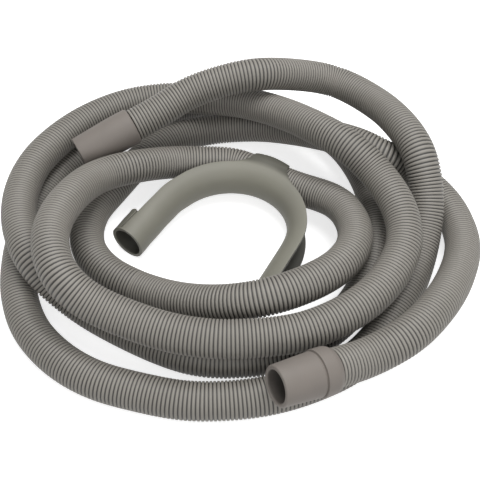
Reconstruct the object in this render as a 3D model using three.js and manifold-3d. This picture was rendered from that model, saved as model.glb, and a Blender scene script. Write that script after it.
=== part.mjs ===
// Washing machine drain hose, lying in a loose coil on the floor.
// Four pieces: the corrugated hose, a straight cuff on one end, a stepped cuff on the other,
// and the U-bend guide that the hose is clipped into at the bend's crown.
import * as THREE from "three";
import { mergeVertices } from "three/addons/utils/BufferGeometryUtils.js";
import Module from "manifold-3d";

const wasm = await Module();
wasm.setup();

// Driving dimensions, in millimetres and degrees.
const HOSE_OUTER = 25; // over the crests of the corrugations
const SEAT_GAP = 0.3; // between a cuff and the hose end that it meets
const FLOOR_LIFT = 0.05; // between the guide's lowest edge and the floor

const STRAIGHT_OUTER = 28;
const STRAIGHT_BORE = 19;
const STRAIGHT_LENGTH = 46;
const STRAIGHT_LEAD = 1.2; // slope on the rim that meets the hose
const STRAIGHT_RIM = 0.8; // rounding of the free rim

const STEP_BORE = 21;
const NOSE_OUTER = 28.5;
const NOSE_LENGTH = 28;
const COLLAR_OUTER = 30.2;
const COLLAR_LENGTH = 12;
const COLLAR_LEAD = 2; // depth of the slope where the collar meets the hose
const COLLAR_SLOPE = 3.5; // length of that slope
const COLLAR_EDGE = 0.4; // edge of the step down to the nose
const NOSE_LEAD = 0.9; // slope on the outside of the mouth
const MOUTH_LEAD = 0.8; // slope on the inside of the mouth

const CHANNEL_CLEARANCE = 0.6; // between the hose and the guide's wall
const GUIDE_WALL = 2.2;
const BEND_RADIUS = 57.5; // of the guide's centre line
const LEFT_LEG = 50; // straight run after the bend, with the ring that shows its mouth
const RIGHT_LEG = 36;
const LEFT_SPLAY = 4.8; // how far each leg opens outward, in degrees
const RIGHT_SPLAY = 1.9;
const RING_LENGTH = 28; // of the ring at the end of the left leg
const RING_SLOT = 2.4; // snap slot between the ring's lip and the channel's edge
const RING_OVERLAP = 10; // how far the ring's lip laps into the channel's lower edge, in degrees
const CHANNEL_EDGE = 94.5; // from the outer side to the open channel's edge, in degrees
const EAR_LENGTH = 26; // of the clip at the crown
const EAR_REACH = 27; // where the clip ends on the far side, in degrees from level
const EAR_ROOT = 25; // how far the clip's root laps over the channel's top edge, in degrees
const EAR_OFFSET = 3.9; // how far the clipped hose lies outside the channel's centre line
const EAR_SHIFT = 3.4; // from the crown to the clip's middle, towards the left leg
const EAR_CORNER = 8; // rounding of the clip's free corners

// Number of flat faces that stand for a round.
const HOSE_SIDES = 10;
const HOSE_STEPS = 79;
const CUFF_SIDES = 48;
const DEGREES_PER_FACE = 12;
const BEND_STEPS = 44;
const ARC_SAMPLES = 3000;

// Centre of the coil's outline, as the route's own coordinates give it.
const COIL_CENTRE = [1.7, -4.67];

// Centre line of the hose, from the straight cuff to the guide.
const routeToGuide = [
  [-81, 70, 53], [-62, 80, 58], [-39, 93, 66], [-10, 100, 73], [17, 106, 74], [54, 125, 58],
  [81, 126, 50], [106, 99, 52], [120, 65, 59], [130, 34, 58], [135, 17, 44], [136, 4, 32],
  [133, -13, 20], [125, -37, 13], [111, -67, 12.5], [93, -97, 12.5], [72, -119, 12.5],
  [46, -133, 12.5], [20, -142, 12.5], [-7, -146, 12.5], [-35, -146, 12.5], [-63, -140, 12.5],
  [-92, -131, 12.5], [-118, -115, 12.5], [-140, -91, 12.5], [-153, -61, 12.5], [-158, -29, 12.5],
  [-158, -1, 12.5], [-154, 25, 12.5], [-146, 49, 12.5], [-134, 70, 12.5], [-116, 90, 12.5],
  [-96, 109, 12.5], [-70, 132, 12.5], [-40, 147, 12.5], [-8, 150, 12.5], [24, 141, 12.5],
  [53, 123, 12.5], [73, 106, 12.5], [88, 84, 12.5], [99, 52, 12.5], [103, 19, 12.5],
  [101, -11, 12.5], [92, -44, 12.5], [76, -74, 12.5], [54, -96, 12.5], [29, -110, 12.5],
  [1, -115, 12.5], [-27, -114, 12.5], [-54, -104, 12.5], [-80, -90, 12.5], [-104, -76, 15],
  [-124, -65, 26], [-139, -54, 39], [-153, -25, 40], [-159, 8, 39], [-154, 43, 39],
  [-138, 73, 39], [-116, 97, 39], [-88, 114, 39], [-56, 121, 39], [-23, 119, 39], [8, 107, 44],
  [37, 82, 53], [63, 51, 62], [81, 33, 62], [99, 17, 52], [111, -11, 48], [113, -37, 43],
  [104, -60, 40], [87, -83, 39], [64, -101, 39], [38, -113, 39], [12, -117, 39], [-16, -118, 39],
  [-44, -113, 39], [-71, -104, 41], [-95, -96, 48], [-112, -86, 58], [-122, -66, 62],
  [-125, -40, 60], [-118, -9, 55], [-104, 23, 44], [-79, 40, 38], [-50, 58, 26], [-20, 62, 22],
];

// The straight run that the guide's clip holds, around the clip's middle.
const clipRun = [[-4, 63, 20], [8, 56, 20], [32, 42, 20], [44, 35, 20]];

// Centre line of the hose, from the guide to the stepped cuff.
const routeFromGuide = [
  [71, 14, 27], [81, -13, 32], [79, -38, 36], [66, -59, 39], [45, -75, 41], [19, -86, 41],
  [-8, -86, 34], [-38, -75, 22], [-68, -58, 12.5], [-93, -43, 12.5], [-111, -18, 12.5],
  [-112, 14, 12.5], [-99, 41, 12.5], [-81, 73, 12.5], [-56, 100, 12.5], [-22, 113, 12.5],
  [15, 110, 18], [48, 93, 28], [73, 70, 41], [92, 56, 45], [112, 46, 40], [132, 53, 20],
  [147, 43, 14], [159, 19, 13], [161, -18, 17], [148, -56, 26], [128, -90, 35], [105, -115, 38],
  [78, -130, 36], [56, -141, 41],
];

const hoseMaterial = new THREE.MeshStandardMaterial({ color: 0x8f8c85, roughness: 0.6, metalness: 0 });
const cuffMaterial = new THREE.MeshStandardMaterial({ color: 0x87817a, roughness: 0.5, metalness: 0 });
const guideMaterial = new THREE.MeshStandardMaterial({ color: 0x87877b, roughness: 0.45, metalness: 0 });

const hoseRoute = new THREE.CatmullRomCurve3(
  [...routeToGuide, ...clipRun, ...routeFromGuide].map((p) => new THREE.Vector3(...p)),
  false,
  "catmullrom",
);
hoseRoute.arcLengthDivisions = ARC_SAMPLES;

// A band of a ring, as a section across a sweep: x points down and y to the bend's outer side.
// Angles are in degrees, 0 on the outer side and 90 at the top.
function bandShape(inner, outer, from, to) {
  const faces = Math.ceil((to - from) / DEGREES_PER_FACE);
  const arc = (radius, k) => {
    const angle = THREE.MathUtils.degToRad(from + ((to - from) * k) / faces);
    return new THREE.Vector2(-radius * Math.sin(angle), radius * Math.cos(angle));
  };
  const points = [];
  for (let k = 0; k <= faces; k++) points.push(arc(outer, k));
  for (let k = faces; k >= 0; k--) points.push(arc(inner, k));
  return new THREE.Shape(points);
}

function sweep(shape, path, steps) {
  return new THREE.ExtrudeGeometry(shape, { steps, extrudePath: path, bevelEnabled: false });
}

function solidOf(geometry) {
  const bare = geometry.index ? geometry.toNonIndexed() : geometry.clone();
  bare.deleteAttribute("normal");
  bare.deleteAttribute("uv");
  const merged = mergeVertices(bare, 1e-4);
  const mesh = new wasm.Mesh({
    numProp: 3,
    vertProperties: merged.attributes.position.array,
    triVerts: new Uint32Array(merged.index.array),
  });
  return new wasm.Manifold(mesh);
}

function geometryOf(solid) {
  const mesh = solid.getMesh();
  const geometry = new THREE.BufferGeometry();
  geometry.setAttribute("position", new THREE.BufferAttribute(mesh.vertProperties, 3));
  geometry.setIndex(new THREE.BufferAttribute(mesh.triVerts, 1));
  geometry.computeVertexNormals();
  return geometry;
}

function named(name, geometry, material) {
  const mesh = new THREE.Mesh(geometry, material);
  mesh.name = name;
  return mesh;
}

// The hose, plain here: its corrugations are far finer than its bends.
function corrugatedHose() {
  const section = new THREE.Shape();
  for (let k = 0; k < HOSE_SIDES; k++) {
    const angle = (2 * Math.PI * k) / HOSE_SIDES;
    const x = (HOSE_OUTER / 2) * Math.cos(angle);
    const y = (HOSE_OUTER / 2) * Math.sin(angle);
    if (k === 0) section.moveTo(x, y);
    else section.lineTo(x, y);
  }
  section.closePath();
  return named("corrugated_hose", sweep(section, hoseRoute, HOSE_STEPS), hoseMaterial);
}

// Turns a closed profile of (radius, distance from the hose end) pairs, and sets it on a hose end.
function turnedCuff(name, profile, end, outward) {
  const points = [...profile, profile[0]].map(([radius, along]) => new THREE.Vector2(radius, along));
  const mesh = named(name, new THREE.LatheGeometry(points, CUFF_SIDES), cuffMaterial);
  mesh.quaternion.setFromUnitVectors(new THREE.Vector3(0, 1, 0), outward);
  mesh.position.copy(end).addScaledVector(outward, SEAT_GAP);
  return mesh;
}

function straightCuff() {
  const outer = STRAIGHT_OUTER / 2;
  const bore = STRAIGHT_BORE / 2;
  const profile = [
    [bore, 0],
    [outer - STRAIGHT_LEAD, 0],
    [outer, STRAIGHT_LEAD],
    [outer, STRAIGHT_LENGTH - STRAIGHT_RIM],
    [outer - STRAIGHT_RIM, STRAIGHT_LENGTH],
    [bore + STRAIGHT_RIM, STRAIGHT_LENGTH],
    [bore, STRAIGHT_LENGTH - STRAIGHT_RIM],
  ];
  const outward = hoseRoute.getTangentAt(0).negate();
  return turnedCuff("straight_cuff", profile, hoseRoute.getPointAt(0), outward);
}

function steppedCuff() {
  const collar = COLLAR_OUTER / 2;
  const nose = NOSE_OUTER / 2;
  const bore = STEP_BORE / 2;
  const mouth = COLLAR_LENGTH + NOSE_LENGTH;
  const profile = [
    [bore, 0],
    [collar - COLLAR_LEAD, 0],
    [collar, COLLAR_SLOPE],
    [collar, COLLAR_LENGTH - COLLAR_EDGE],
    [collar - COLLAR_EDGE, COLLAR_LENGTH],
    [nose, COLLAR_LENGTH],
    [nose, mouth - NOSE_LEAD],
    [nose - NOSE_LEAD, mouth],
    [bore + MOUTH_LEAD, mouth],
    [bore, mouth - MOUTH_LEAD],
  ];
  return turnedCuff("stepped_cuff", profile, hoseRoute.getPointAt(1), hoseRoute.getTangentAt(1));
}

// The guide is made flat, with its crown at the origin, its legs towards -Y and its bend in XY.
const channelInner = HOSE_OUTER / 2 + CHANNEL_CLEARANCE;
const channelOuter = channelInner + GUIDE_WALL;
const leftAngle = Math.PI - THREE.MathUtils.degToRad(LEFT_SPLAY);
const rightAngle = THREE.MathUtils.degToRad(RIGHT_SPLAY);

function onBend(angle) {
  return new THREE.Vector3(BEND_RADIUS * Math.cos(angle), BEND_RADIUS * (Math.sin(angle) - 1), 0);
}

// A point on the left leg's centre line, past the bend's end by the given length.
function onLeftLeg(length) {
  const way = new THREE.Vector3(-Math.sin(leftAngle), Math.cos(leftAngle), 0);
  return onBend(leftAngle).addScaledVector(way, length);
}

function onRightLeg(length) {
  const way = new THREE.Vector3(Math.sin(rightAngle), -Math.cos(rightAngle), 0);
  return onBend(rightAngle).addScaledVector(way, length);
}

// The centre line of the open channel, from the left leg's end to the right leg's.
class BendCurve extends THREE.Curve {
  getPoint(t, target = new THREE.Vector3()) {
    const arc = (leftAngle - rightAngle) * BEND_RADIUS;
    const along = t * (LEFT_LEG + arc + RIGHT_LEG);
    if (along <= LEFT_LEG) return target.copy(onLeftLeg(LEFT_LEG - along));
    if (along >= LEFT_LEG + arc) return target.copy(onRightLeg(along - LEFT_LEG - arc));
    return target.copy(onBend(leftAngle - (along - LEFT_LEG) / BEND_RADIUS));
  }
}

function channel() {
  const section = bandShape(channelInner, channelOuter, CHANNEL_EDGE, 360 - CHANNEL_EDGE);
  return solidOf(sweep(section, new BendCurve(), BEND_STEPS));
}

// The lip that closes the ring round the left leg's end, all but its snap slot on top.
function ringLip() {
  const slot = THREE.MathUtils.radToDeg(RING_SLOT / channelInner);
  const section = bandShape(channelInner, channelOuter, -CHANNEL_EDGE - RING_OVERLAP, CHANNEL_EDGE - slot);
  const run = new THREE.LineCurve3(onLeftLeg(LEFT_LEG), onLeftLeg(LEFT_LEG - RING_LENGTH));
  return solidOf(sweep(section, run, 1));
}

// The clip at the crown: an ear from the channel's top edge over the hose to its far side.
function ear() {
  const from = new THREE.Vector3(-EAR_LENGTH / 2 - EAR_SHIFT, EAR_OFFSET, 0);
  const to = new THREE.Vector3(EAR_LENGTH / 2 - EAR_SHIFT, EAR_OFFSET, 0);
  const section = bandShape(channelInner, channelOuter, EAR_REACH, CHANNEL_EDGE + EAR_ROOT);
  return solidOf(sweep(section, new THREE.LineCurve3(from, to), 1)).subtract(earCorners());
}

// Blocks with a round inner edge, which round the ear's two free corners.
function earCorners() {
  const height = channelOuter * Math.sin(THREE.MathUtils.degToRad(EAR_REACH));
  const half = EAR_LENGTH / 2;
  const cut = new THREE.Shape();
  cut.moveTo(-half - 1, height - GUIDE_WALL);
  cut.lineTo(half + 1, height - GUIDE_WALL);
  cut.lineTo(half + 1, height + EAR_CORNER);
  cut.lineTo(half, height + EAR_CORNER);
  cut.absarc(half - EAR_CORNER, height + EAR_CORNER, EAR_CORNER, 0, -Math.PI / 2, true);
  cut.lineTo(EAR_CORNER - half, height);
  cut.absarc(EAR_CORNER - half, height + EAR_CORNER, EAR_CORNER, -Math.PI / 2, -Math.PI, true);
  cut.lineTo(-half - 1, height + EAR_CORNER);
  cut.closePath();
  const depth = 2 * channelOuter;
  const block = new THREE.ExtrudeGeometry(cut, { depth, bevelEnabled: false, curveSegments: 8 });
  block.rotateX(Math.PI / 2);
  block.translate(-EAR_SHIFT, EAR_OFFSET + depth, 0);
  return solidOf(block);
}

// The guide's place: its clip round the clip run, tilted until the left ring rests on the floor.
function uBendGuide() {
  const solid = channel().add(ringLip()).add(ear());
  const mesh = named("u_bend_guide", geometryOf(solid), guideMaterial);

  const before = new THREE.Vector3(...clipRun[1]);
  const after = new THREE.Vector3(...clipRun[2]);
  const heading = Math.atan2(after.y - before.y, after.x - before.x);
  const middle = before.clone().lerp(after, 0.5);
  const reach = EAR_OFFSET - onLeftLeg(LEFT_LEG).y;
  const rise = middle.z - FLOOR_LIFT;
  const tilt = Math.asin(rise / Math.hypot(reach, channelOuter)) - Math.atan2(channelOuter, reach);
  mesh.rotation.set(tilt, 0, heading, "ZXY");
  mesh.position.copy(middle).sub(new THREE.Vector3(-EAR_SHIFT, EAR_OFFSET, 0).applyEuler(mesh.rotation));
  return mesh;
}

const hose = new THREE.Group();
hose.name = "drain_hose";
hose.add(corrugatedHose(), straightCuff(), steppedCuff(), uBendGuide());
hose.position.set(-COIL_CENTRE[0], -COIL_CENTRE[1], 0);

export default hose;
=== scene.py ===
import math

import bmesh
import bpy
from mathutils import Matrix, Vector


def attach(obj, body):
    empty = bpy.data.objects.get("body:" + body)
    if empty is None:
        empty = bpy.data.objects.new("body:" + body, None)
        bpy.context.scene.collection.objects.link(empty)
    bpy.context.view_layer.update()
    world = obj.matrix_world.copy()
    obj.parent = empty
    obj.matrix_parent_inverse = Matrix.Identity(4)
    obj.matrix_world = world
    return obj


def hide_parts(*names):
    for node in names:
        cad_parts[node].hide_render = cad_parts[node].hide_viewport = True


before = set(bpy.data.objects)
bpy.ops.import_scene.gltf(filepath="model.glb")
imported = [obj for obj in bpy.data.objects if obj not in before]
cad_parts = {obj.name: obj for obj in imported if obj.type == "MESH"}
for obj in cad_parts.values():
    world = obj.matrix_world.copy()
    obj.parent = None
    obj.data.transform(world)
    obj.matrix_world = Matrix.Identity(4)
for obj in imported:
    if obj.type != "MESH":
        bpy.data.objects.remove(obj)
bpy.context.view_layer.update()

MM = 0.001

# The hose's place and radius and the gap between its ends and the cuffs, as the solids have them.
COIL_CENTRE = Vector((1.7, -4.67, 0)) * MM
HOSE_RADIUS = 12.5 * MM
SEAT_GAP = 0.3 * MM

# Camera: it looks from the front and above at the origin of the hose's route.
CAMERA_ELEVATION = math.radians(48)
CAMERA_DISTANCE = 620 * MM
CAMERA_CLIP = 10 * MM
SENSOR = 36
FOCAL_PIXELS = 823.4
IMAGE_PIXELS = 480

# Corrugations. A rib's phases are its rings of points: share of the pitch, share of the depth.
RIB_PITCH = 2.5 * MM
RIB_DEPTH = 1.1 * MM
RIB_PHASES = ((0.0, 1.0), (0.24, 0.0), (0.76, 0.0))
HOSE_SEGMENTS = 22
SPLINE_STEPS = 24
RELAX_STEP = 2 * MM
RELAX_ROUNDS = 30

# Cuffs, in millimetres. A profile's corner is its radius, its distance from the cuff's foot, which is
# next to the hose, and its rounding. The last corner splits the bore, so that its painted shade starts at
# the mouth.
STRAIGHT_BORE = 9.5
STRAIGHT_LENGTH = 46
STEPPED_BORE = 10.2
STEPPED_LENGTH = 40
MOUTH_RING = 2
STRAIGHT_PROFILE = (
    (STRAIGHT_BORE, 0, 0.3), (12.9, 0, 0.6), (14.0, 1.4, 1.0), (14.0, 16, 9.0),
    (12.5, STRAIGHT_LENGTH, 0.8), (STRAIGHT_BORE, STRAIGHT_LENGTH, 0.8),
    (STRAIGHT_BORE, STRAIGHT_LENGTH - MOUTH_RING, 0),
)
STEPPED_PROFILE = (
    (STEPPED_BORE, 0, 0.3), (13.1, 0, 0.6), (15.1, 3.5, 1.6), (15.1, 12.2, 0.35),
    (13.7, 12.5, 0.1), (13.8, 13.0, 0.1), (14.3, 13.4, 0.2), (12.9, STEPPED_LENGTH, 1.3),
    (STEPPED_BORE, STEPPED_LENGTH, 0.9), (STEPPED_BORE, STEPPED_LENGTH - MOUTH_RING, 0),
)
BORE_MARGIN = 0.5
CUFF_SEGMENTS = 96
# A rounding takes this share of an edge at most.
ROUNDING_LIMIT = 0.45
ROUNDING_STEPS = 6

# Guide, made flat as its solid is: crown at the origin, legs towards -Y, bend in XY. In millimetres.
FLOOR_LIFT = 0.05
BEND_RADIUS = 57.5
LEFT_LEG = 50.0
RIGHT_LEG = 36.0
LEFT_ANGLE = math.pi - math.radians(4.8)
RIGHT_ANGLE = math.radians(1.9)
CHANNEL_OUTER = 15.3
GUIDE_WALL = 2.2
# Angles in degrees of the channel's upper and lower edges, 0 outward and 90 up.
CHANNEL_EDGE = 94.5
LOWER_EDGE = 265.5
BEND_LENGTH = (LEFT_ANGLE - RIGHT_ANGLE) * BEND_RADIUS
GUIDE_LENGTH = LEFT_LEG + BEND_LENGTH + RIGHT_LEG
# Distance from the left mouth, outer radius, offset outward and upward, angle of the channel's upper edge.
CHANNEL_SECTIONS = ((0, 13.5, -1.9, -1.8, 71), (16, 13.5, -1.2, -1.1, 76), (34, 14.3, 0, 0, 86),
                    (46, 14.5, 0.2, 0.2, 87), (62, CHANNEL_OUTER, 0, 0, CHANNEL_EDGE))
LEG_ROWS = 12
BEND_ROWS = 72
CHANNEL_COLUMNS = 44
# The right leg's inner side stands out by this share, which comes in over a run before the right mouth.
RIGHT_STRETCH = 0.08
STRETCH_START = 62
STRETCH_RUN = 20

# The left ring's lip, with a slot between it and the channel's upper edge and a neck that joins them.
LIP_LENGTH = 21.0
LIP_CORNER = 3.2
LIP_ROWS = 14
LIP_COLUMNS = 40
LIP_EASE = 1.6
SLOT_WIDTH = 1.1
SLOT_NECK = 1.3
NECK_SHARES = (0.0, 0.34, 0.67, 1.0)

# The guide's ear. Where a size has two values, they are for its left and right sides.
EAR_HALVES = (12.5, 17.5)
EAR_FILLETS = (10.0, 12.0)
EAR_CLOSING = (1.0, 1.5)
EAR_WALL = 1.2
EAR_CORNER_DEPTH = 10.0
EAR_CORNER_WIDTH = 6.0
# Place of its middle: towards the left, and outward from the guide's line.
EAR_SHIFT = 3.4
EAR_OFFSET = 3.9
# Its outer radius round the hose, and the angle of its rim in degrees, 0 level and 90 up.
EAR_TOP = 15.4
EAR_REACH = 40
EAR_COLUMNS = 14
EAR_ROWS = 16
# The fillets start this far inward from the guide's line.
FILLET_LEAD = 1.2
# Rows of the ear's root on the channel: distance outward from the guide's line, and height.
EAR_ROOT = ((-4.2, 14.2), (-3.2, 14.85), (-2.2, 15.15), (-1.2, 15.29), (-0.6, 15.32), (0.0, 15.34))
# Rows between the root and the ear's crown, as shares of the way.
EAR_RISE = (0.1, 0.2, 0.32, 0.46, 0.62, 0.8, 1.0)
# Rows next to the ear's rim, as distances from it.
EAR_RIM = (3.2, 2.4, 1.7, 1.1, 0.6, 0.25, 0.07, 0.0)

# Moulded walls of the guide: distance within which points are one, and the rounding of edges.
WELD = 0.01
CHANNEL_ROUNDING = 0.45
EAR_ROUNDING = 0.5
EDGE_SEGMENTS = 3
EDGE_ANGLE = math.radians(50)

# Painted shade: how light the colour stays in the cuffs' bores and inside the channel, and on the lip.
PAINTED_INSIDE_SHADE = 0.36
PAINTED_LIP_SHADE = 0.72
# How far into its mouth a bore takes to reach that painted shade, and how much of the channel's wall is
# outside it.
INSIDE_DEPTH = 3.0
INSIDE_SHARE = 0.75
# Where the lip's painted shade lies, and how far in from the left mouth the rim stays free of painted shade.
LIP_SHADE_LENGTH = 22.0
LIP_SHADE_ANGLES = (-93.5, 68)
RIM_DEPTH = 0.6
# How much darker the ear is, how far inward from the guide's line that starts and the run it takes.
EAR_SHADE = 0.5
EAR_SHADE_LEAD = 2
EAR_SHADE_RUN = 4.9

# Colours, each with the place that it stands at: from crest to groove in the hose's shades, which darken
# into painted shade in the grooves, and along the noise of the patches in the others.
HOSE_CREST_TO_PAINTED_GROOVE_SHADE = ((0.0, (0.248, 0.233, 0.209)), (0.3, (0.138, 0.13, 0.116)),
               (0.62, (0.04, 0.037, 0.033)), (1.0, (0.012, 0.011, 0.0095)))
HOSE_MOTTLE = ((0.3, (0.86, 0.86, 0.85)), (0.7, (1.0, 1.0, 1.0)))
CUFF_SHADES = ((0.3, (0.157, 0.139, 0.124)), (0.7, (0.178, 0.157, 0.139)))
GUIDE_SHADES = ((0.3, (0.167, 0.162, 0.134)), (0.7, (0.192, 0.187, 0.152)))
# Scales of the noise that makes patches and grain, with the least and most roughness that the grain gives.
HOSE_PATCH = 14
HOSE_GRAIN = 900
HOSE_ROUGHNESS = (0.48, 0.64)
HOSE_BUMP = 0.08
CUFF_PATCH = 30
CUFF_GRAIN = 1200
CUFF_ROUGHNESS = (0.54, 0.68)
GUIDE_PATCH = 20
GUIDE_GRAIN = 900
GUIDE_ROUGHNESS = (0.49, 0.63)
MOULDED_BUMP = 0.1
BUMP_HEIGHT = 0.2 * MM
PATCH_DETAIL = 3
GRAIN_DETAIL = 2

# Surroundings, in metres and watts: name, place, width and power of each light.
LIGHTS = (("key", (0.1, 0.15, 1.3), 0.9, 14.5), ("fill", (0.3, -1.0, 0.8), 1.0, 6))
WORLD_LIGHT = 0.38
FLOOR_HALF = 6.0
FLOOR_BOUNCE = 0.5
FLOOR_SEEN = 0.7
FLOOR_GLOW = 0.72
WHITE = (1, 1, 1, 1)

# The hose's centre line in millimetres, as listed points: to the guide's clip, through it and on.
ROUTE_TO_GUIDE = [
    [-81, 70, 53], [-62, 80, 58], [-39, 93, 66], [-10, 100, 73], [17, 106, 74], [54, 125, 58],
    [81, 126, 50], [106, 99, 52], [120, 65, 59], [130, 34, 58], [135, 17, 44], [136, 4, 32],
    [133, -13, 20], [125, -37, 13], [111, -67, 12.5], [93, -97, 12.5], [72, -119, 12.5],
    [46, -133, 12.5], [20, -142, 12.5], [-7, -146, 12.5], [-35, -146, 12.5], [-63, -140, 12.5],
    [-92, -131, 12.5], [-118, -115, 12.5], [-140, -91, 12.5], [-153, -61, 12.5], [-158, -29, 12.5],
    [-158, -1, 12.5], [-154, 25, 12.5], [-146, 49, 12.5], [-134, 70, 12.5], [-116, 90, 12.5],
    [-96, 109, 12.5], [-70, 132, 12.5], [-40, 147, 12.5], [-8, 150, 12.5], [24, 141, 12.5],
    [53, 123, 12.5], [73, 106, 12.5], [88, 84, 12.5], [99, 52, 12.5], [103, 19, 12.5],
    [101, -11, 12.5], [92, -44, 12.5], [76, -74, 12.5], [54, -96, 12.5], [29, -110, 12.5],
    [1, -115, 12.5], [-27, -114, 12.5], [-54, -104, 12.5], [-80, -90, 12.5], [-104, -76, 15],
    [-124, -65, 26], [-139, -54, 39], [-153, -25, 40], [-159, 8, 39], [-154, 43, 39],
    [-138, 73, 39], [-116, 97, 39], [-88, 114, 39], [-56, 121, 39], [-23, 119, 39], [8, 107, 44],
    [37, 82, 53], [63, 51, 62], [81, 33, 62], [99, 17, 52], [111, -11, 48], [113, -37, 43],
    [104, -60, 40], [87, -83, 39], [64, -101, 39], [38, -113, 39], [12, -117, 39], [-16, -118, 39],
    [-44, -113, 39], [-71, -104, 41], [-95, -96, 48], [-112, -86, 58], [-122, -66, 62],
    [-125, -40, 60], [-118, -9, 55], [-104, 23, 44], [-79, 40, 38], [-50, 58, 26], [-20, 62, 22],
]
CLIP_RUN = [[-4, 63, 20], [8, 56, 20], [32, 42, 20], [44, 35, 20]]
ROUTE_FROM_GUIDE = [
    [71, 14, 27], [81, -13, 32], [79, -38, 36], [66, -59, 39], [45, -75, 41], [19, -86, 41],
    [-8, -86, 34], [-38, -75, 22], [-68, -58, 12.5], [-93, -43, 12.5], [-111, -18, 12.5],
    [-112, 14, 12.5], [-99, 41, 12.5], [-81, 73, 12.5], [-56, 100, 12.5], [-22, 113, 12.5],
    [15, 110, 18], [48, 93, 28], [73, 70, 41], [92, 56, 45], [112, 46, 40], [132, 53, 20],
    [147, 43, 14], [159, 19, 13], [161, -18, 17], [148, -56, 26], [128, -90, 35], [105, -115, 38],
    [78, -130, 36], [56, -141, 41],
]


def route_points():
    """Centre line of the hose in the part's frame, as the solids have it."""
    points = ROUTE_TO_GUIDE + CLIP_RUN + ROUTE_FROM_GUIDE
    return [Vector(p) * MM - COIL_CENTRE for p in points]


def spline(points, steps):
    """Uniform Catmull-Rom curve through the points, with straight run-ins at both ends."""
    ends = [2 * points[0] - points[1], *points, 2 * points[-1] - points[-2]]
    line = []
    for a, b, c, d in zip(ends, ends[1:], ends[2:], ends[3:]):
        for k in range(steps):
            t = k / steps
            line.append(0.5 * (2 * b + (c - a) * t + (2 * a - 5 * b + 4 * c - d) * t * t
                               + (3 * b - a - 3 * c + d) * t ** 3))
    line.append(points[-1].copy())
    return line


def relaxed(line):
    """The line at even steps, with its tightest turns eased as a stiff hose takes them."""
    count = round(length_of(line) / RELAX_STEP)
    step = length_of(line) / count
    points = even_points(line, [k * step for k in range(count + 1)])
    for _ in range(RELAX_ROUNDS):
        inner = [(a + 2 * b + c) / 4 for a, b, c in zip(points[1:], points[2:], points[3:])]
        points[2:-1] = inner
    for point in points:
        point.z = max(point.z, HOSE_RADIUS)
    return points


def make_camera():
    data = bpy.data.cameras.new("camera")
    data.sensor_width = SENSOR
    data.lens = FOCAL_PIXELS / IMAGE_PIXELS * SENSOR
    data.clip_start = CAMERA_CLIP
    camera = bpy.data.objects.new("camera", data)
    bpy.context.scene.collection.objects.link(camera)
    back = Vector((0, -math.cos(CAMERA_ELEVATION), math.sin(CAMERA_ELEVATION)))
    camera.location = back * CAMERA_DISTANCE - COIL_CENTRE
    camera.rotation_mode = "QUATERNION"
    camera.rotation_quaternion = (-back).to_track_quat("-Z", "Y")
    bpy.context.scene.camera = camera


def mesh_object(name, vertices, faces, smooth=True):
    mesh = bpy.data.meshes.new(name)
    mesh.from_pydata([tuple(v) for v in vertices], [], faces)
    mesh.validate()
    mesh.update()
    if smooth:
        mesh.shade_smooth()
    piece = bpy.data.objects.new(name, mesh)
    bpy.context.scene.collection.objects.link(piece)
    return piece


def even_points(line, distances):
    """Points of a polyline at the given distances along it."""
    found = []
    k = 0
    start = 0.0
    step = (line[1] - line[0]).length
    for distance in distances:
        while distance > start + step and k < len(line) - 2:
            start += step
            k += 1
            step = (line[k + 1] - line[k]).length
        found.append(line[k].lerp(line[k + 1], min(1.0, (distance - start) / step)))
    return found


def length_of(line):
    return sum((b - a).length for a, b in zip(line, line[1:]))


def make_hose():
    """The corrugated hose: rings of points along its line, on the crests and in the grooves."""
    line = relaxed(spline(route_points(), SPLINE_STEPS))
    length = length_of(line)
    ribs = round(length / RIB_PITCH)
    pitch = length / ribs
    stations = [((rib + phase) * pitch, depth) for rib in range(ribs) for phase, depth in RIB_PHASES]
    stations.append((length, 1.0))
    centres = even_points(line, [s for s, _ in stations])
    tangents = []
    for k in range(len(centres)):
        ahead = centres[min(k + 1, len(centres) - 1)]
        behind = centres[max(k - 1, 0)]
        tangents.append((ahead - behind).normalized())
    side = tangents[0].orthogonal().normalized()
    vertices = []
    groove = []
    for centre, tangent, (_, depth) in zip(centres, tangents, stations):
        side = (side - tangent * side.dot(tangent)).normalized()
        other = tangent.cross(side)
        radius = HOSE_RADIUS - RIB_DEPTH * depth
        for j in range(HOSE_SEGMENTS):
            angle = 2 * math.pi * j / HOSE_SEGMENTS
            vertices.append(centre + radius * (math.cos(angle) * side + math.sin(angle) * other))
            groove.append(depth)
    faces = []
    for k in range(len(centres) - 1):
        for j in range(HOSE_SEGMENTS):
            a = k * HOSE_SEGMENTS + j
            b = k * HOSE_SEGMENTS + (j + 1) % HOSE_SEGMENTS
            faces.append((a, b, b + HOSE_SEGMENTS, a + HOSE_SEGMENTS))
    last = len(vertices) - HOSE_SEGMENTS
    faces.append(tuple(reversed(range(HOSE_SEGMENTS))))
    faces.append(tuple(range(last, last + HOSE_SEGMENTS)))
    piece = mesh_object("hose_skin", vertices, faces)
    # The groove depth goes to the material, which paints shade into the grooves with it.
    layer = piece.data.attributes.new("groove", "FLOAT", "POINT")
    layer.data.foreach_set("value", groove)
    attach(piece, "root")
    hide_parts("corrugated_hose")
    return piece


def add_tone(piece, tones):
    """Lightness of the piece's colour at each of its points, for its material, which carries the painted
    shade of bores, channel and lip.
    """
    layer = piece.data.attributes.new("tone", "FLOAT_COLOR", "POINT")
    layer.data.foreach_set("color", [v for tone in tones for v in (tone, tone, tone, 1.0)])


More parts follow.
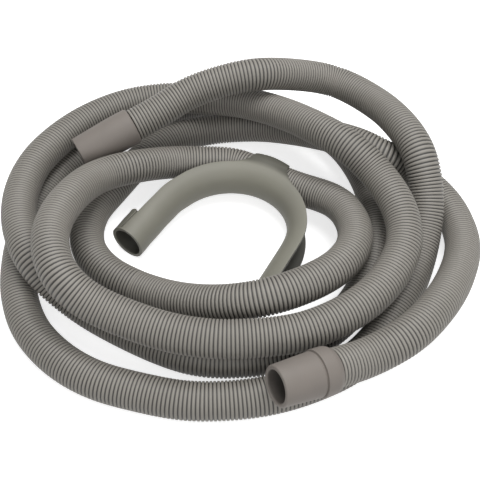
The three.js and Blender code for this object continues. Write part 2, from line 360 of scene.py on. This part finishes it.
def turned(name, profile, end, outward):
    """A closed profile of (radius, distance) pairs in millimetres, turned round a hose end's axis."""
    side = outward.orthogonal().normalized()
    other = outward.cross(side)
    vertices = []
    for radius, along in profile:
        for j in range(CUFF_SEGMENTS):
            angle = 2 * math.pi * j / CUFF_SEGMENTS
            ring = math.cos(angle) * side + math.sin(angle) * other
            vertices.append(end + outward * (SEAT_GAP + along * MM) + ring * (radius * MM))
    faces = []
    for k in range(len(profile)):
        after = (k + 1) % len(profile)
        for j in range(CUFF_SEGMENTS):
            beside = (j + 1) % CUFF_SEGMENTS
            faces.append((k * CUFF_SEGMENTS + j, k * CUFF_SEGMENTS + beside,
                          after * CUFF_SEGMENTS + beside, after * CUFF_SEGMENTS + j))
    piece = mesh_object(name, vertices, faces)
    face_out(piece)
    return piece


def face_out(piece):
    """Turn a closed piece's faces outward."""
    work = bmesh.new()
    work.from_mesh(piece.data)
    bmesh.ops.recalc_face_normals(work, faces=work.faces)
    work.to_mesh(piece.data)
    work.free()


def rounded(profile):
    """Points of a closed profile, with each corner rounded by its own amount."""
    points = []
    corners = [Vector(corner[:2]) for corner in profile]
    for k, here in enumerate(corners):
        back = corners[k - 1] - here
        ahead = corners[(k + 1) % len(corners)] - here
        reach = min(profile[k][2], back.length * ROUNDING_LIMIT, ahead.length * ROUNDING_LIMIT)
        if reach <= 0:
            points.append(here)
            continue
        start = here + back.normalized() * reach
        stop = here + ahead.normalized() * reach
        for j in range(ROUNDING_STEPS + 1):
            t = j / ROUNDING_STEPS
            points.append(start * (1 - t) ** 2 + here * (2 * t * (1 - t)) + stop * t ** 2)
    return [tuple(p) for p in points]


def cuff_painted_shade(piece, end, outward, bore, length):
    """Painted shade: the cuff's bore is darker than its outside, and more so away from the mouth."""
    tones = []
    for vertex in piece.data.vertices:
        arm = vertex.co - end
        along = arm.dot(outward) / MM - SEAT_GAP / MM
        away = (arm - outward * arm.dot(outward)).length / MM
        inside = 0
        if away < bore + BORE_MARGIN:
            # Painted shade: the bore darkens from its mouth inward.
            inside = min(max((length - along) / INSIDE_DEPTH, 0), 1)
        tones.append(1 - (1 - PAINTED_INSIDE_SHADE) * inside ** 0.5)
    return tones


def make_cuffs():
    points = route_points()
    cuffs = []
    for name, profile, bore, length, end, inner in (
            ("straight_cuff", STRAIGHT_PROFILE, STRAIGHT_BORE, STRAIGHT_LENGTH, points[0], points[1]),
            ("stepped_cuff", STEPPED_PROFILE, STEPPED_BORE, STEPPED_LENGTH, points[-1], points[-2])):
        outward = (end - inner).normalized()
        piece = turned(name + "_skin", rounded(profile), end, outward)
        # The tone layer holds the painted shade of the bore.
        add_tone(piece, cuff_painted_shade(piece, end, outward, bore, length))
        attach(piece, "root")
        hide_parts(name)
        cuffs.append(piece)
    return cuffs


def guide_matrix():
    """Place of the guide: clipped on the hose, and tilted until its left ring rests on the floor."""
    before, after = (Vector(p) for p in CLIP_RUN[1:3])
    heading = math.atan2(after.y - before.y, after.x - before.x)
    middle = (before + after) / 2
    left_end = BEND_RADIUS * (math.sin(LEFT_ANGLE) - 1) + LEFT_LEG * math.cos(LEFT_ANGLE)
    reach = EAR_OFFSET - left_end
    rise = middle.z - FLOOR_LIFT
    tilt = math.asin(rise / math.hypot(reach, CHANNEL_OUTER)) - math.atan2(CHANNEL_OUTER, reach)
    turn = Matrix.Rotation(heading, 4, "Z") @ Matrix.Rotation(tilt, 4, "X")
    place = middle - turn @ Vector((-EAR_SHIFT, EAR_OFFSET, 0))
    return Matrix.Translation(-COIL_CENTRE) @ Matrix.Scale(MM, 4) @ Matrix.Translation(place) @ turn


def guide_line(along):
    """Centre and outward direction of the guide's line, at a distance from its left mouth."""
    angle = LEFT_ANGLE - min(max(along - LEFT_LEG, 0), BEND_LENGTH) / BEND_RADIUS
    outward = Vector((math.cos(angle), math.sin(angle), 0))
    centre = outward * BEND_RADIUS - Vector((0, BEND_RADIUS, 0))
    ahead = Vector((math.sin(angle), -math.cos(angle), 0))
    if along < LEFT_LEG:
        centre += ahead * (along - LEFT_LEG)
    elif along > LEFT_LEG + BEND_LENGTH:
        centre += ahead * (along - LEFT_LEG - BEND_LENGTH)
    return centre, outward


def section_at(along):
    """Outer radius, offset outward and upward and upper edge's angle of the channel at a distance."""
    for low, high in zip(CHANNEL_SECTIONS, CHANNEL_SECTIONS[1:]):
        if along <= high[0]:
            t = (along - low[0]) / (high[0] - low[0])
            t = t * t * (3 - 2 * t)
            return [a + (b - a) * t for a, b in zip(low, high)][1:]
    return CHANNEL_SECTIONS[-1][1:]


def on_channel(along, angle):
    """Point of the channel's outer surface: angle in degrees, 0 on the outer side and 90 at the top."""
    centre, outward = guide_line(along)
    radius, out, up, _ = section_at(along)
    x = math.cos(math.radians(angle))
    stretch = 1.0
    if x < 0:
        late = min(max((along - GUIDE_LENGTH + STRETCH_START) / STRETCH_RUN, 0), 1)
        stretch += RIGHT_STRETCH * late * x * x
    return (centre + outward * (out + radius * x * stretch)
            + Vector((0, 0, up + radius * math.sin(math.radians(angle)))))


def add_grid(work, rows):
    made = [[work.verts.new(p) for p in row] for row in rows]
    for below, above in zip(made, made[1:]):
        for a, b, c, d in zip(below, below[1:], above[1:], above):
            work.faces.new((a, b, c, d))


def lip_length(depth):
    """Length of the ring's lip, at a distance from its upper edge: its free corner is round."""
    if depth >= LIP_CORNER:
        return LIP_LENGTH
    return LIP_LENGTH - LIP_CORNER + math.sqrt(LIP_CORNER ** 2 - (LIP_CORNER - depth) ** 2)


def lip_steps(length):
    """Distances from the left mouth along the lip: over the slot's neck, then in even steps."""
    return [0.0] + [SLOT_NECK + (length - SLOT_NECK) * k / LIP_ROWS for k in range(LIP_ROWS + 1)]


def channel_mesh(work):
    """The channel's outer surface, with its left ring's lip and the neck that joins them."""
    bend_end = GUIDE_LENGTH - RIGHT_LEG
    stations = lip_steps(LIP_LENGTH)
    stretches = ((LIP_LENGTH, LEFT_LEG - LIP_LENGTH, LEG_ROWS), (LEFT_LEG, bend_end - LEFT_LEG, BEND_ROWS),
                 (bend_end, RIGHT_LEG, LEG_ROWS))
    for start, run, count in stretches:
        stations += [start + run * k / count for k in range(1, count + 1)]
    rows = []
    for along in stations:
        edge = section_at(along)[3]
        rows.append([on_channel(along, edge + (LOWER_EDGE - edge) * j / CHANNEL_COLUMNS)
                     for j in range(CHANNEL_COLUMNS + 1)])
    add_grid(work, rows)

    def lip_top(along):
        radius, _, _, edge = section_at(along)
        return 360 + edge - math.degrees(SLOT_WIDTH / radius)

    columns = []
    span = math.radians(lip_top(0) - LOWER_EDGE) * section_at(0)[0]
    for j in range(LIP_COLUMNS + 1):
        share = 1 - (1 - j / LIP_COLUMNS) ** LIP_EASE
        steps = lip_steps(lip_length((1 - share) * span))
        columns.append([on_channel(s, LOWER_EDGE + (lip_top(s) - LOWER_EDGE) * share) for s in steps])
    add_grid(work, columns)
    neck = []
    for share in NECK_SHARES:
        neck.append([on_channel(s, lip_top(s) + (360 + section_at(s)[3] - lip_top(s)) * share)
                     for s in (0.0, SLOT_NECK)])
    add_grid(work, neck)


def ear_across(share, clear=math.inf, depth=math.inf):
    """Place across the ear at a share of its half width, which changes near its fillets and its rim."""
    side = 0 if share < 0 else 1
    half = EAR_HALVES[side]
    fillet = EAR_FILLETS[side]
    if clear < fillet:
        near = max(clear, 0)
        half += fillet - math.sqrt(fillet ** 2 - (fillet - near) ** 2)
    if depth < EAR_CORNER_DEPTH:
        half -= EAR_CORNER_WIDTH * (1 - math.sqrt(1 - (1 - depth / EAR_CORNER_DEPTH) ** 2))
    return share * half - EAR_SHIFT


def ear_crown(share):
    """Radius of the ear round the hose: it closes in on the hose towards its sides."""
    return EAR_TOP - EAR_CLOSING[0 if share < 0 else 1] * share * share


def on_bend(x, radial):
    """Place along y of a point of the guide's bend, at a distance outward from its line."""
    return math.sqrt((BEND_RADIUS + radial) ** 2 - x * x) - BEND_RADIUS


def ear_mesh(work):
    """The ear's outer surface, from its root on the channel over the hose to its rim."""
    shares = [(k / EAR_COLUMNS) * 2 - 1 for k in range(EAR_COLUMNS + 1)]
    rows = []
    for radial, height in EAR_ROOT:
        row = []
        for share in shares:
            x = ear_across(share, clear=radial + FILLET_LEAD)
            row.append(Vector((x, on_bend(x, radial), height)))
        rows.append(row)
    root_height = EAR_ROOT[-1][1]
    for step in EAR_RISE:
        row = []
        for share in shares:
            start = on_bend(ear_across(share), 0.0)
            x = ear_across(share, clear=FILLET_LEAD + step * (EAR_OFFSET - start))
            start = on_bend(x, 0.0)
            height = root_height + (ear_crown(share) - root_height) * step
            row.append(Vector((x, start + (EAR_OFFSET - start) * step, height)))
        rows.append(row)
    full = math.radians(90 - EAR_REACH) * EAR_TOP
    depths = [full * (1 - k / EAR_ROWS) for k in range(1, EAR_ROWS)]
    depths = [depth for depth in depths if depth > EAR_RIM[0]] + list(EAR_RIM)
    for depth in depths:
        angle = math.radians(EAR_REACH) + depth / EAR_TOP
        row = []
        for share in shares:
            y = EAR_OFFSET + ear_crown(share) * math.cos(angle)
            z = ear_crown(share) * math.sin(angle)
            row.append(Vector((ear_across(share, depth=depth), y, z)))
        rows.append(row)
    add_grid(work, rows)


def shell(name, fill, wall, rounding):
    """A moulded wall: an open surface given its thickness inwards, with its edges rounded."""
    work = bmesh.new()
    fill(work)
    bmesh.ops.remove_doubles(work, verts=work.verts, dist=WELD)
    bmesh.ops.recalc_face_normals(work, faces=work.faces)
    work.faces.ensure_lookup_table()
    topmost = max(work.faces, key=lambda face: face.calc_center_median().z)
    if topmost.normal.z < 0:
        bmesh.ops.reverse_faces(work, faces=work.faces)
    mesh = bpy.data.meshes.new(name)
    work.to_mesh(mesh)
    work.free()
    piece = bpy.data.objects.new(name, mesh)
    bpy.context.scene.collection.objects.link(piece)
    thick = piece.modifiers.new("wall", "SOLIDIFY")
    thick.thickness = wall
    thick.offset = -1
    thick.use_even_offset = True
    edge = piece.modifiers.new("edge", "BEVEL")
    edge.width = rounding
    edge.segments = EDGE_SEGMENTS
    edge.limit_method = "ANGLE"
    edge.angle_limit = EDGE_ANGLE
    seen = piece.evaluated_get(bpy.context.evaluated_depsgraph_get())
    made = bpy.data.meshes.new_from_object(seen)
    piece.modifiers.clear()
    piece.data = made
    return piece


def along_guide(point):
    """Distance of a point from the left mouth, measured along the guide's line."""
    angle = math.atan2(point.y + BEND_RADIUS, point.x)
    if RIGHT_ANGLE <= angle <= LEFT_ANGLE:
        return LEFT_LEG + (LEFT_ANGLE - angle) * BEND_RADIUS
    start = LEFT_LEG if point.x < 0 else GUIDE_LENGTH - RIGHT_LEG
    centre, outward = guide_line(start)
    return start + (point - centre).dot(Vector((outward.y, -outward.x, 0)))


def channel_painted_shade(point):
    """Painted shade: the channel is darker inside, and a little darker on its lip."""
    along = along_guide(point)
    if along < RIM_DEPTH:
        return 1.0
    centre, outward = guide_line(along)
    radius, out, up, _ = section_at(along)
    arm = point - centre - outward * out - Vector((0, 0, up))
    # Painted shade inside the channel's wall and on the lip.
    if arm.length < radius - GUIDE_WALL * INSIDE_SHARE:
        return PAINTED_INSIDE_SHADE
    angle = math.degrees(math.atan2(arm.z, arm.dot(outward)))
    on_lip = along < LIP_SHADE_LENGTH and LIP_SHADE_ANGLES[0] < angle < LIP_SHADE_ANGLES[1]
    return PAINTED_LIP_SHADE if on_lip else 1.0


def ear_tone(point):
    """The ear's skin is a little darker than the channel's, fading at its root."""
    centre = math.sqrt(max(BEND_RADIUS ** 2 - point.x ** 2, 0)) - BEND_RADIUS
    out = min(max((point.y - centre + EAR_SHADE_LEAD) / EAR_SHADE_RUN, 0), 1)
    return 1 - EAR_SHADE * out


def make_guide():
    channel = shell("guide_skin", channel_mesh, GUIDE_WALL, CHANNEL_ROUNDING)
    ear = shell("guide_ear", ear_mesh, EAR_WALL, EAR_ROUNDING)
    # The channel's tone layer holds painted shade.
    for piece, tone in ((channel, channel_painted_shade), (ear, ear_tone)):
        add_tone(piece, [tone(vertex.co) for vertex in piece.data.vertices])
    work = bmesh.new()
    work.from_mesh(channel.data)
    work.from_mesh(ear.data)
    work.transform(guide_matrix())
    for face in work.faces:
        face.smooth = True
    work.to_mesh(channel.data)
    work.free()
    bpy.data.objects.remove(ear)
    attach(channel, "root")
    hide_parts("u_bend_guide")
    return channel


def new_material(name):
    material = bpy.data.materials.new(name)
    material.use_nodes = True
    nodes = material.node_tree.nodes
    return material, nodes, material.node_tree.links, nodes["Principled BSDF"]


def ramp(nodes, stops):
    node = nodes.new("ShaderNodeValToRGB")
    while len(node.color_ramp.elements) < len(stops):
        node.color_ramp.elements.new(0.5)
    for element, (place, colour) in zip(node.color_ramp.elements, stops):
        element.position = place
        element.color = (*colour, 1)
    return node


def noise(nodes, links, coordinates, scale, detail):
    node = nodes.new("ShaderNodeTexNoise")
    node.inputs["Scale"].default_value = scale
    node.inputs["Detail"].default_value = detail
    links.new(coordinates.outputs["Object"], node.inputs["Vector"])
    return node


def multiply(nodes, links, a, b):
    node = nodes.new("ShaderNodeMix")
    node.data_type = "RGBA"
    node.blend_type = "MULTIPLY"
    node.inputs["Factor"].default_value = 1.0
    links.new(a, node.inputs["A"])
    links.new(b, node.inputs["B"])
    return node.outputs["Result"]


def add_grain(nodes, links, coordinates, scale, roughness, bump_strength):
    """Fine grain in the roughness, between its least and most, and in the surface."""
    shader = nodes["Principled BSDF"]
    grain = noise(nodes, links, coordinates, scale, GRAIN_DETAIL)
    rough = nodes.new("ShaderNodeMapRange")
    rough.inputs["To Min"].default_value = roughness[0]
    rough.inputs["To Max"].default_value = roughness[1]
    links.new(grain.outputs["Fac"], rough.inputs["Value"])
    links.new(rough.outputs["Result"], shader.inputs["Roughness"])
    bump = nodes.new("ShaderNodeBump")
    bump.inputs["Strength"].default_value = bump_strength
    bump.inputs["Distance"].default_value = BUMP_HEIGHT
    links.new(grain.outputs["Fac"], bump.inputs["Height"])
    links.new(bump.outputs["Normal"], shader.inputs["Normal"])


def hose_material():
    material, nodes, links, shader = new_material("hose_plastic")
    coordinates = nodes.new("ShaderNodeTexCoord")
    groove = nodes.new("ShaderNodeAttribute")
    groove.attribute_name = "groove"
    # The ramp from crest to groove paints shade into the grooves.
    crest = ramp(nodes, HOSE_CREST_TO_PAINTED_GROOVE_SHADE)
    links.new(groove.outputs["Fac"], crest.inputs["Fac"])
    mottle = noise(nodes, links, coordinates, HOSE_PATCH, PATCH_DETAIL)
    shade = ramp(nodes, HOSE_MOTTLE)
    links.new(mottle.outputs["Fac"], shade.inputs["Fac"])
    colour = multiply(nodes, links, crest.outputs["Color"], shade.outputs["Color"])
    links.new(colour, shader.inputs["Base Color"])
    add_grain(nodes, links, coordinates, HOSE_GRAIN, HOSE_ROUGHNESS, HOSE_BUMP)
    return material


def moulded_material(name, shades, patch, grain, roughness):
    """Plain moulded plastic or rubber, with its tone layer, which carries painted shade, over its colours.
    """
    material, nodes, links, shader = new_material(name)
    coordinates = nodes.new("ShaderNodeTexCoord")
    blotch = noise(nodes, links, coordinates, patch, PATCH_DETAIL)
    colour = ramp(nodes, shades)
    links.new(blotch.outputs["Fac"], colour.inputs["Fac"])
    # The tone layer holds painted shade in the cuffs' bores, inside the channel and on its lip.
    tone = nodes.new("ShaderNodeAttribute")
    tone.attribute_name = "tone"
    toned = multiply(nodes, links, colour.outputs["Color"], tone.outputs["Color"])
    links.new(toned, shader.inputs["Base Color"])
    add_grain(nodes, links, coordinates, grain, roughness, MOULDED_BUMP)
    return material


def dress(piece, material):
    piece.data.materials.clear()
    piece.data.materials.append(material)


def background_rays(nodes, links):
    """One for rays that show the background: from the camera, off a glossy surface or through glass."""
    path = nodes.new("ShaderNodeLightPath")
    found = path.outputs["Is Camera Ray"]
    for kind in ("Is Glossy Ray", "Is Transmission Ray"):
        either = nodes.new("ShaderNodeMath")
        either.operation = "MAXIMUM"
        links.new(found, either.inputs[0])
        links.new(path.outputs[kind], either.inputs[1])
        found = either.outputs["Value"]
    return found


def show_background(nodes, links, plain, shown, output):
    """Give the output one shader for background rays and the plain one for all others."""
    mix = nodes.new("ShaderNodeMixShader")
    links.new(background_rays(nodes, links), mix.inputs[0])
    links.new(plain, mix.inputs[1])
    links.new(shown, mix.inputs[2])
    links.new(mix.outputs["Shader"], nodes[output].inputs["Surface"])


def make_floor():
    corners = [(x * FLOOR_HALF, y * FLOOR_HALF, 0) for x, y in ((-1, -1), (1, -1), (1, 1), (-1, 1))]
    floor = mesh_object("floor", corners, [(0, 1, 2, 3)], smooth=False)
    material, nodes, links, shader = new_material("floor_white")
    shader.inputs["Base Color"].default_value = (FLOOR_BOUNCE, FLOOR_BOUNCE, FLOOR_BOUNCE, 1)
    shader.inputs["Roughness"].default_value = 1.0
    seen = nodes.new("ShaderNodeBsdfPrincipled")
    seen.inputs["Base Color"].default_value = (FLOOR_SEEN, FLOOR_SEEN, FLOOR_SEEN, 1)
    seen.inputs["Roughness"].default_value = 1.0
    seen.inputs["Emission Color"].default_value = WHITE
    seen.inputs["Emission Strength"].default_value = FLOOR_GLOW
    show_background(nodes, links, shader.outputs["BSDF"], seen.outputs["BSDF"], "Material Output")
    dress(floor, material)


def make_world():
    world = bpy.data.worlds.new("world")
    bpy.context.scene.world = world
    world.use_nodes = True
    nodes = world.node_tree.nodes
    links = world.node_tree.links
    light = nodes["Background"]
    light.inputs["Color"].default_value = WHITE
    light.inputs["Strength"].default_value = WORLD_LIGHT
    white = nodes.new("ShaderNodeBackground")
    white.inputs["Color"].default_value = WHITE
    white.inputs["Strength"].default_value = 1.0
    show_background(nodes, links, light.outputs["Background"], white.outputs["Background"], "World Output")


def make_lights():
    for name, place, width, watts in LIGHTS:
        data = bpy.data.lights.new(name, "AREA")
        data.size = width
        data.energy = watts
        lamp = bpy.data.objects.new(name, data)
        lamp.location = place
        lamp.rotation_mode = "QUATERNION"
        lamp.rotation_quaternion = (-Vector(place)).to_track_quat("-Z", "Y")
        bpy.context.scene.collection.objects.link(lamp)


bpy.context.scene.view_settings.view_transform = "Standard"
make_camera()
cuff_rubber = moulded_material("cuff_rubber", CUFF_SHADES, CUFF_PATCH, CUFF_GRAIN, CUFF_ROUGHNESS)
guide_plastic = moulded_material("guide_plastic", GUIDE_SHADES, GUIDE_PATCH, GUIDE_GRAIN, GUIDE_ROUGHNESS)
for cuff in make_cuffs():
    dress(cuff, cuff_rubber)
dress(make_hose(), hose_material())
dress(make_guide(), guide_plastic)
make_floor()
make_world()
make_lights()
